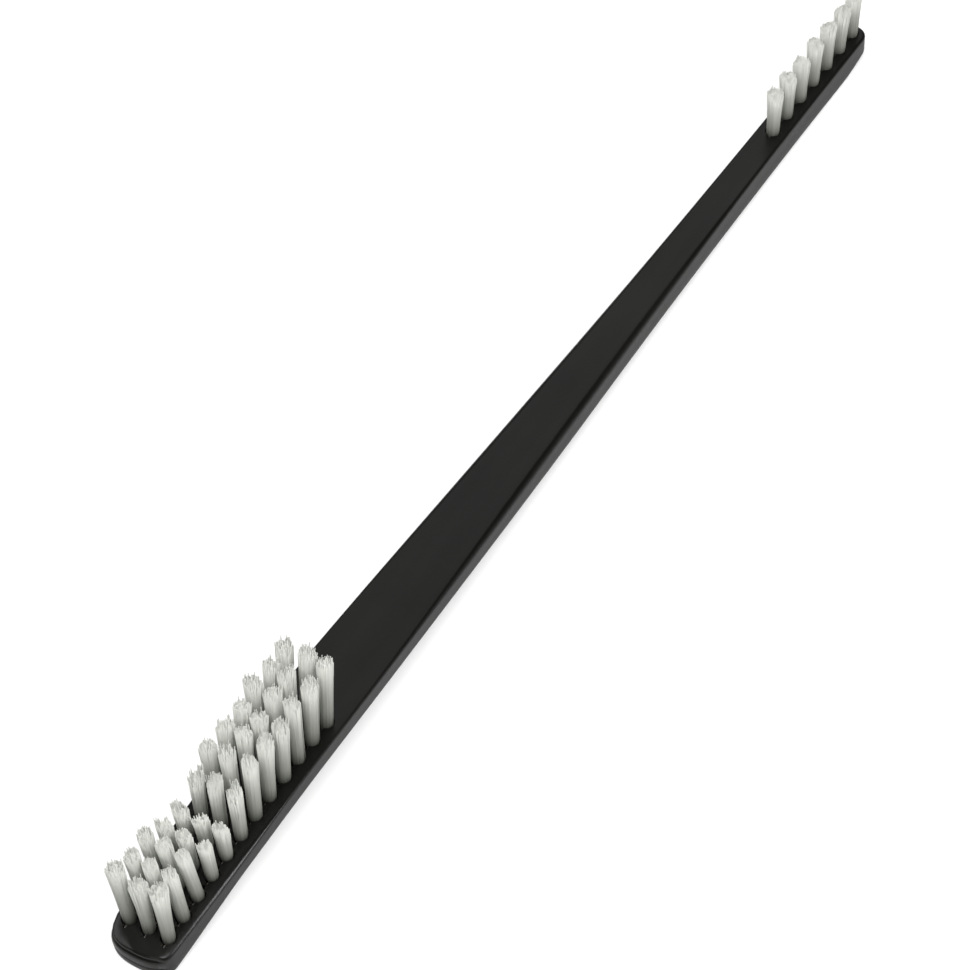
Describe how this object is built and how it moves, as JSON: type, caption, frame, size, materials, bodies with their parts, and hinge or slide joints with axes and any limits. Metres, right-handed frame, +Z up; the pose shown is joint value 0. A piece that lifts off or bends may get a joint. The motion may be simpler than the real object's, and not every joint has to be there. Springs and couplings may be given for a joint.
{
  "type": "climbing hold brush",
  "caption": "Double-ended cleaning brush: flat black handle, a wide head with rows of white nylon tufts and a narrow head with one row, each tuft held by a metal anchor.",
  "frame": {"origin": "middle of the brush's length and width, on the level that it lies on with its tufts up", "axes": "+X along the brush from the wide head to the narrow head, +Z up on the tufted side, +Y to the left seen from the wide head"},
  "size_m": [0.1798, 0.0104, 0.0192],
  "materials": {
    "black_plastic": "satin moulded black plastic, faintly warm",
    "white_nylon": "translucent off-white nylon filament",
    "anchor_metal": "flat cut wire"
  },
  "bodies": {
    "root": {"handle": "black_plastic", "left_row_tufts": "white_nylon", "left_row_anchor_1": "anchor_metal", "left_row_anchor_2": "anchor_metal", "left_row_anchor_3": "anchor_metal", "left_row_anchor_4": "anchor_metal", "left_row_anchor_5": "anchor_metal", "left_row_anchor_6": "anchor_metal", "left_row_anchor_7": "anchor_metal", "left_row_anchor_8": "anchor_metal", "left_row_anchor_9": "anchor_metal", "left_row_anchor_10": "anchor_metal", "left_row_anchor_11": "anchor_metal", "left_row_anchor_12": "anchor_metal", "centre_row_tufts": "white_nylon", "centre_row_anchor_1": "anchor_metal", "centre_row_anchor_2": "anchor_metal", "centre_row_anchor_3": "anchor_metal", "centre_row_anchor_4": "anchor_metal", "centre_row_anchor_5": "anchor_metal", "centre_row_anchor_6": "anchor_metal", "centre_row_anchor_7": "anchor_metal", "centre_row_anchor_8": "anchor_metal", "centre_row_anchor_9": "anchor_metal", "centre_row_anchor_10": "anchor_metal", "centre_row_anchor_11": "anchor_metal", "centre_row_anchor_12": "anchor_metal", "right_row_tufts": "white_nylon", "right_row_anchor_1": "anchor_metal", "right_row_anchor_2": "anchor_metal", "right_row_anchor_3": "anchor_metal", "right_row_anchor_4": "anchor_metal", "right_row_anchor_5": "anchor_metal", "right_row_anchor_6": "anchor_metal", "right_row_anchor_7": "anchor_metal", "right_row_anchor_8": "anchor_metal", "right_row_anchor_9": "anchor_metal", "right_row_anchor_10": "anchor_metal", "right_row_anchor_11": "anchor_metal", "right_row_anchor_12": "anchor_metal", "narrow_head_tufts": "white_nylon", "narrow_head_anchor_1": "anchor_metal", "narrow_head_anchor_2": "anchor_metal", "narrow_head_anchor_3": "anchor_metal", "narrow_head_anchor_4": "anchor_metal", "narrow_head_anchor_5": "anchor_metal", "narrow_head_anchor_6": "anchor_metal", "narrow_head_anchor_7": "anchor_metal"}
  },
  "joints": []
}
